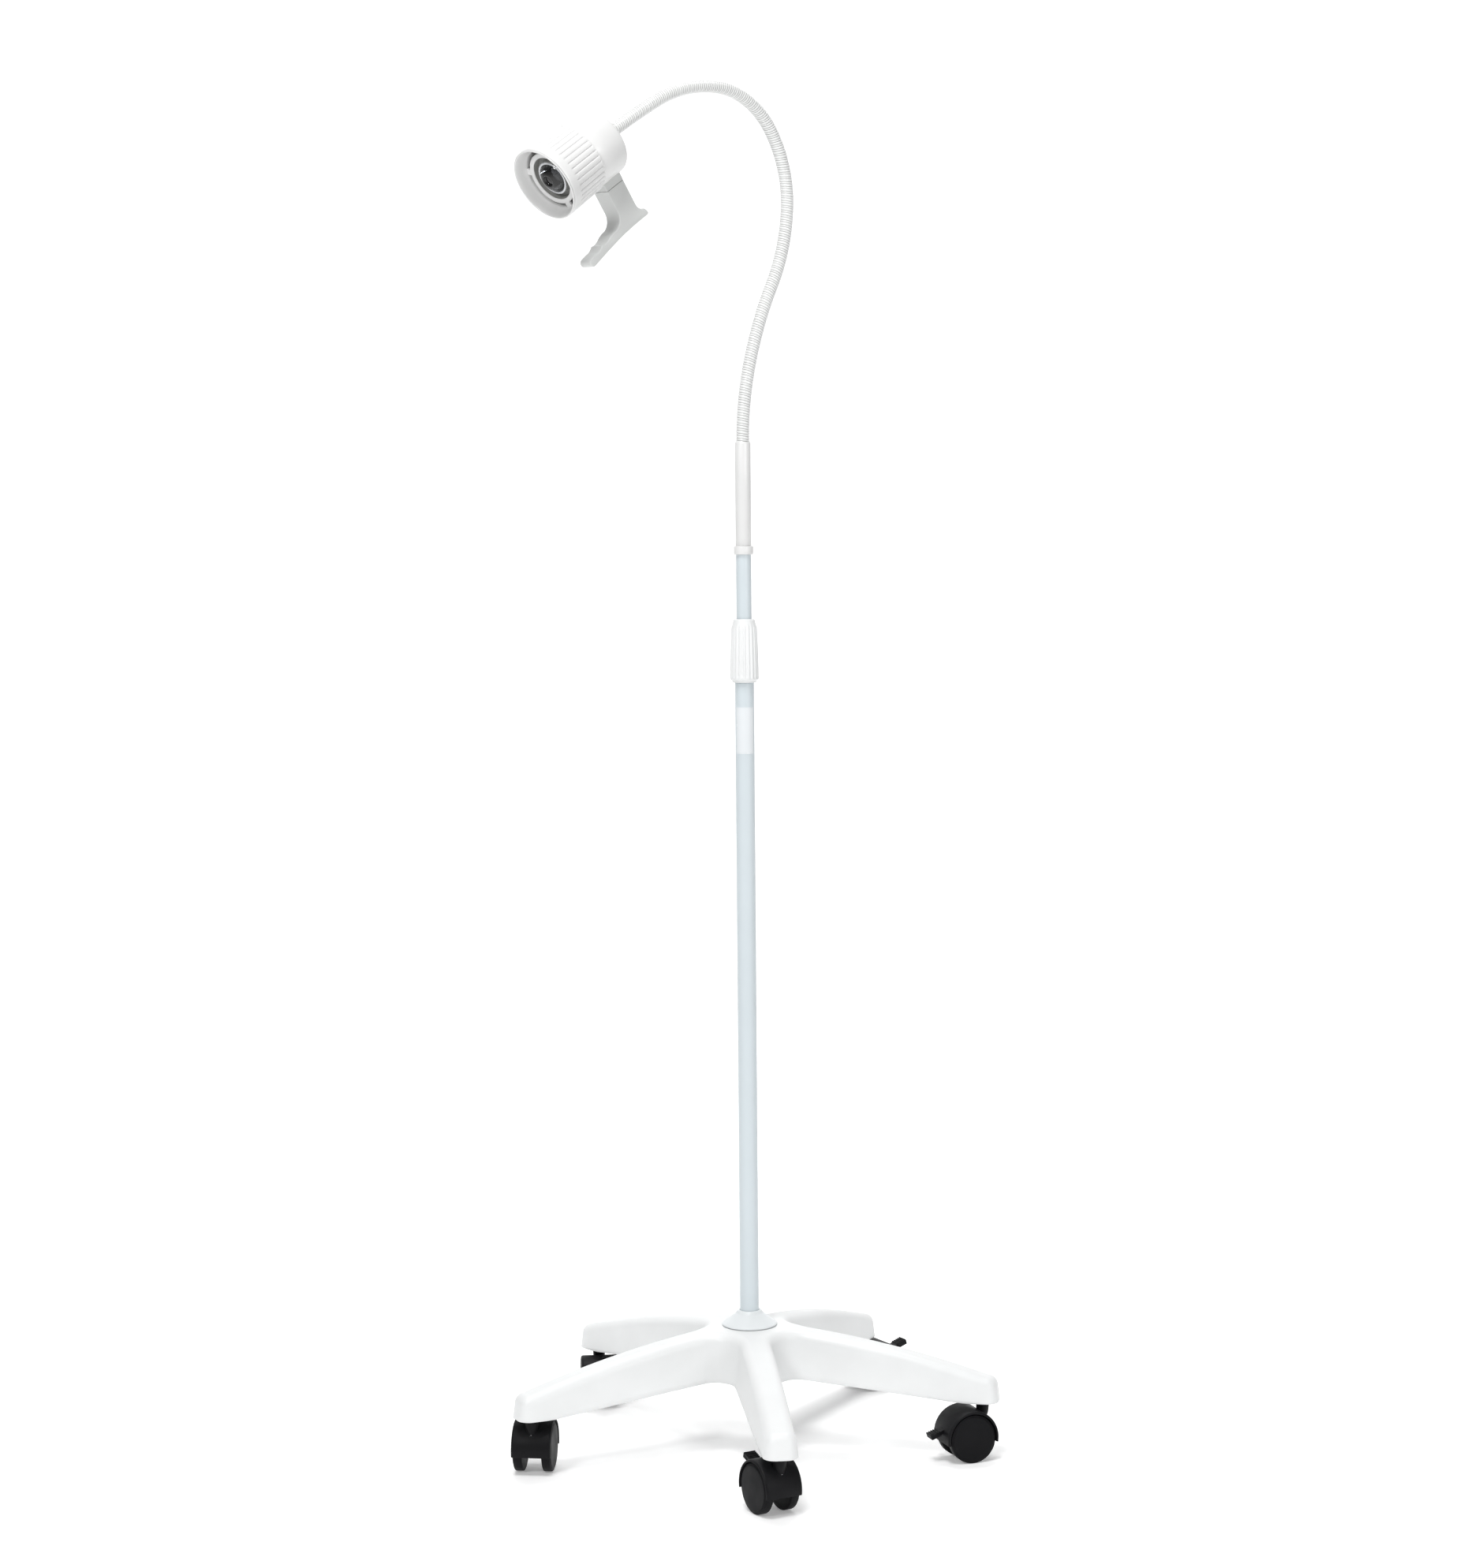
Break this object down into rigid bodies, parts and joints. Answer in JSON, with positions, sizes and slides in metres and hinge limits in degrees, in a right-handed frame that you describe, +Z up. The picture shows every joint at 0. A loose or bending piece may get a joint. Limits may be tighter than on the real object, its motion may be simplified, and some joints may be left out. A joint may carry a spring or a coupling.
{
  "type": "examination lamp",
  "caption": "Mobile examination lamp on a star base with locking casters: telescopic pole with twist lock, white gooseneck and a focusing LED head with a grip.",
  "frame": {"origin": "the point of the floor under the pole's axis", "axes": "+Z up along the pole; the head reaches out towards -X and -Y; -Y faces the viewer"},
  "size_m": [0.5076, 0.5209, 1.4397],
  "materials": {
    "white_shell": "smooth white moulded plastic, satin",
    "gooseneck_skin": "glossy white ribbed sheath",
    "pole_coat": "pale blue-grey powder coat",
    "label_film": "blank film label",
    "grey_plastic": "satin grey moulded plastic",
    "steel": "zinc plated steel",
    "heat_sink_metal": "cast aluminium",
    "black_plastic": "textured charcoal nylon",
    "wheel_tread": "matt black wheel plastic with a soft tread",
    "lens_clear": "clear moulded lens",
    "board": "circuit board"
  },
  "bodies": {
    "base": {"base_star": "white_shell", "hub_cap": "grey_plastic", "hub_bush": "steel", "tube_plug": "steel", "hub_bolt": "steel", "caster_stems": "steel", "lower_tube": "pole_coat", "tube_label": "label_film", "cable_grommet": "black_plastic", "lock_body": "grey_plastic"},
    "collar": {"lock_collar": "white_shell"},
    "slider": {"guide_bush": "grey_plastic"},
    "mast": {"upper_tube": "pole_coat", "mast_ring": "white_shell", "neck_sleeve": "white_shell", "gooseneck_1": "gooseneck_skin"},
    "neck_2": {"gooseneck_2": "gooseneck_skin"},
    "neck_3": {"gooseneck_3": "gooseneck_skin"},
    "neck_4": {"gooseneck_4": "gooseneck_skin"},
    "neck_5": {"gooseneck_5": "gooseneck_skin"},
    "neck_6": {"gooseneck_6": "gooseneck_skin"},
    "head": {"gooseneck_7": "gooseneck_skin", "neck_nut": "steel", "rear_housing": "white_shell", "front_bezel": "white_shell", "led_board": "board", "heat_sink": "heat_sink_metal", "driver_board": "board", "handle_mount": "grey_plastic", "handle": "grey_plastic", "housing_screws": "steel"},
    "focus": {"focus_ring": "white_shell"},
    "carrier": {"lens_carrier": "white_shell", "lens": "lens_clear"},
    "button": {"power_button": "grey_plastic"},
    "caster_1": {"caster_1_hood": "black_plastic", "caster_1_axle": "steel"},
    "caster_1_left": {"caster_1_wheel_left": "wheel_tread"},
    "caster_1_right": {"caster_1_wheel_right": "wheel_tread"},
    "caster_1_pedal": {"caster_1_brake": "black_plastic"},
    "caster_2": {"caster_2_hood": "black_plastic", "caster_2_axle": "steel"},
    "caster_2_left": {"caster_2_wheel_left": "wheel_tread"},
    "caster_2_right": {"caster_2_wheel_right": "wheel_tread"},
    "caster_2_pedal": {"caster_2_brake": "black_plastic"},
    "caster_3": {"caster_3_hood": "black_plastic", "caster_3_axle": "steel"},
    "caster_3_left": {"caster_3_wheel_left": "wheel_tread"},
    "caster_3_right": {"caster_3_wheel_right": "wheel_tread"},
    "caster_3_pedal": {"caster_3_brake": "black_plastic"},
    "caster_4": {"caster_4_hood": "black_plastic", "caster_4_axle": "steel"},
    "caster_4_left": {"caster_4_wheel_left": "wheel_tread"},
    "caster_4_right": {"caster_4_wheel_right": "wheel_tread"},
    "caster_4_pedal": {"caster_4_brake": "black_plastic"},
    "caster_5": {"caster_5_hood": "black_plastic", "caster_5_axle": "steel"},
    "caster_5_left": {"caster_5_wheel_left": "wheel_tread"},
    "caster_5_right": {"caster_5_wheel_right": "wheel_tread"},
    "caster_5_pedal": {"caster_5_brake": "black_plastic"}
  },
  "joints": [
    {"name": "height_slide", "type": "slide", "parent": "base", "child": "slider", "axis": [0, 0, 1], "range_m": [-0.065, 0.45]},
    {"name": "mast_turn", "type": "hinge", "parent": "slider", "child": "mast", "pos_m": [0, 0, 0.5], "axis": [0, 0, 1], "range_deg": [-170, 170]},
    {"name": "collar_lock", "type": "hinge", "parent": "base", "child": "collar", "pos_m": [0, 0, 0.84], "axis": [0, 0, 1], "range_deg": [0, 90]},
    {"name": "neck_bend_low", "type": "hinge", "parent": "mast", "child": "neck_2", "pos_m": [0.00855, 0.00743, 1.14601], "axis": [0.6561, -0.7547, 0], "range_deg": [-30, 18]},
    {"name": "neck_side_low", "type": "hinge", "parent": "neck_2", "child": "neck_3", "pos_m": [0.0323, 0.02807, 1.22693], "axis": [-0.6694, -0.5819, 0.4617], "range_deg": [-30, 30]},
    {"name": "neck_bend_mid", "type": "hinge", "parent": "neck_3", "child": "neck_4", "pos_m": [0.04944, 0.04297, 1.31023], "axis": [0.6561, -0.7547, 0], "range_deg": [-30, 18]},
    {"name": "neck_side_mid", "type": "hinge", "parent": "neck_4", "child": "neck_5", "pos_m": [0.03193, 0.02776, 1.39248], "axis": [-0.622, -0.5407, -0.5664], "range_deg": [-30, 30]},
    {"name": "neck_bend_high", "type": "hinge", "parent": "neck_5", "child": "neck_6", "pos_m": [-0.02357, -0.02049, 1.43282], "axis": [0.6561, -0.7547, 0], "range_deg": [-30, 18]},
    {"name": "neck_side_high", "type": "hinge", "parent": "neck_6", "child": "head", "pos_m": [-0.08664, -0.07531, 1.41276], "axis": [0.3659, 0.3181, -0.8746], "range_deg": [-30, 30]},
    {"name": "focus_turn", "type": "hinge", "parent": "head", "child": "focus", "pos_m": [-0.18014, -0.1566, 1.33376], "axis": [-0.6257, -0.5439, -0.5592], "range_deg": [0, 120]},
    {"name": "lens_slide", "type": "slide", "parent": "head", "child": "carrier", "axis": [0.6257, 0.5439, 0.5592], "range_m": [0, 0.006]},
    {"name": "button_press", "type": "slide", "parent": "head", "child": "button", "axis": [-0.6257, -0.5439, -0.5592], "range_m": [0, 0.0015], "stiffness_N_per_m": 800, "springref_m": -0.0006},
    {"name": "caster_1_swivel", "type": "hinge", "parent": "base", "child": "caster_1", "pos_m": [0.02839, -0.24536, 0.05], "axis": [0, 0, 1], "continuous": true},
    {"name": "caster_1_left_wheel_roll", "type": "hinge", "parent": "caster_1", "child": "caster_1_left", "pos_m": [0.0059, -0.23641, 0.025], "axis": [-0.866, -0.5, 0], "continuous": true},
    {"name": "caster_1_right_wheel_roll", "type": "hinge", "parent": "caster_1", "child": "caster_1_right", "pos_m": [0.03188, -0.22141, 0.025], "axis": [-0.866, -0.5, 0], "continuous": true},
    {"name": "caster_1_brake_tilt", "type": "hinge", "parent": "caster_1", "child": "caster_1_pedal", "pos_m": [0.01289, -0.21852, 0.037], "axis": [-0.866, -0.5, 0], "range_deg": [0, 36]},
    {"name": "caster_2_swivel", "type": "hinge", "parent": "base", "child": "caster_2", "pos_m": [0.24213, -0.04882, 0.05], "axis": [0, 0, 1], "continuous": true},
    {"name": "caster_2_left_wheel_roll", "type": "hinge", "parent": "caster_2", "child": "caster_2_left", "pos_m": [0.2294, -0.06942, 0.025], "axis": [0.342, -0.9397, 0], "continuous": true},
    {"name": "caster_2_right_wheel_roll", "type": "hinge", "parent": "caster_2", "child": "caster_2_right", "pos_m": [0.21914, -0.04122, 0.025], "axis": [0.342, -0.9397, 0], "continuous": true},
    {"name": "caster_2_brake_tilt", "type": "hinge", "parent": "caster_2", "child": "caster_2_pedal", "pos_m": [0.213, -0.05942, 0.037], "axis": [0.342, -0.9397, 0], "range_deg": [-36, 0]},
    {"name": "caster_3_swivel", "type": "hinge", "parent": "base", "child": "caster_3", "pos_m": [0.12125, 0.21519, 0.05], "axis": [0, 0, 1], "continuous": true},
    {"name": "caster_3_left_wheel_roll", "type": "hinge", "parent": "caster_3", "child": "caster_3_left", "pos_m": [0.13021, 0.23768, 0.025], "axis": [-0.5, 0.866, 0], "continuous": true},
    {"name": "caster_3_right_wheel_roll", "type": "hinge", "parent": "caster_3", "child": "caster_3_right", "pos_m": [0.14521, 0.2117, 0.025], "axis": [-0.5, 0.866, 0], "continuous": true},
    {"name": "caster_3_brake_tilt", "type": "hinge", "parent": "caster_3", "child": "caster_3_pedal", "pos_m": [0.1481, 0.23069, 0.037], "axis": [-0.5, 0.866, 0], "range_deg": [0, 36]},
    {"name": "caster_4_swivel", "type": "hinge", "parent": "base", "child": "caster_4", "pos_m": [-0.16719, 0.18182, 0.05], "axis": [0, 0, 1], "continuous": true},
    {"name": "caster_4_left_wheel_roll", "type": "hinge", "parent": "caster_4", "child": "caster_4_left", "pos_m": [-0.15059, 0.1642, 0.025], "axis": [0.9962, 0.0872, 0], "continuous": true},
    {"name": "caster_4_right_wheel_roll", "type": "hinge", "parent": "caster_4", "child": "caster_4_right", "pos_m": [-0.18047, 0.16158, 0.025], "axis": [0.9962, 0.0872, 0], "continuous": true},
    {"name": "caster_4_brake_tilt", "type": "hinge", "parent": "caster_4", "child": "caster_4_pedal", "pos_m": [-0.16449, 0.15093, 0.037], "axis": [0.9962, 0.0872, 0], "range_deg": [0, 36]},
    {"name": "caster_5_swivel", "type": "hinge", "parent": "base", "child": "caster_5", "pos_m": [-0.22458, -0.10282, 0.05], "axis": [0, 0, 1], "continuous": true},
    {"name": "caster_5_left_wheel_roll", "type": "hinge", "parent": "caster_5", "child": "caster_5_left", "pos_m": [-0.23715, -0.08213, 0.025], "axis": [-0.9925, 0.1219, 0], "continuous": true},
    {"name": "caster_5_right_wheel_roll", "type": "hinge", "parent": "caster_5", "child": "caster_5_right", "pos_m": [-0.20738, -0.08579, 0.025], "axis": [-0.9925, 0.1219, 0], "continuous": true},
    {"name": "caster_5_brake_tilt", "type": "hinge", "parent": "caster_5", "child": "caster_5_pedal", "pos_m": [-0.2208, -0.07205, 0.037], "axis": [-0.9925, 0.1219, 0], "range_deg": [0, 36]}
  ],
  "couplings": [
    {"joint": "lens_slide", "follows": "focus_turn", "m_per_rad": 0.0028648}
  ]
}
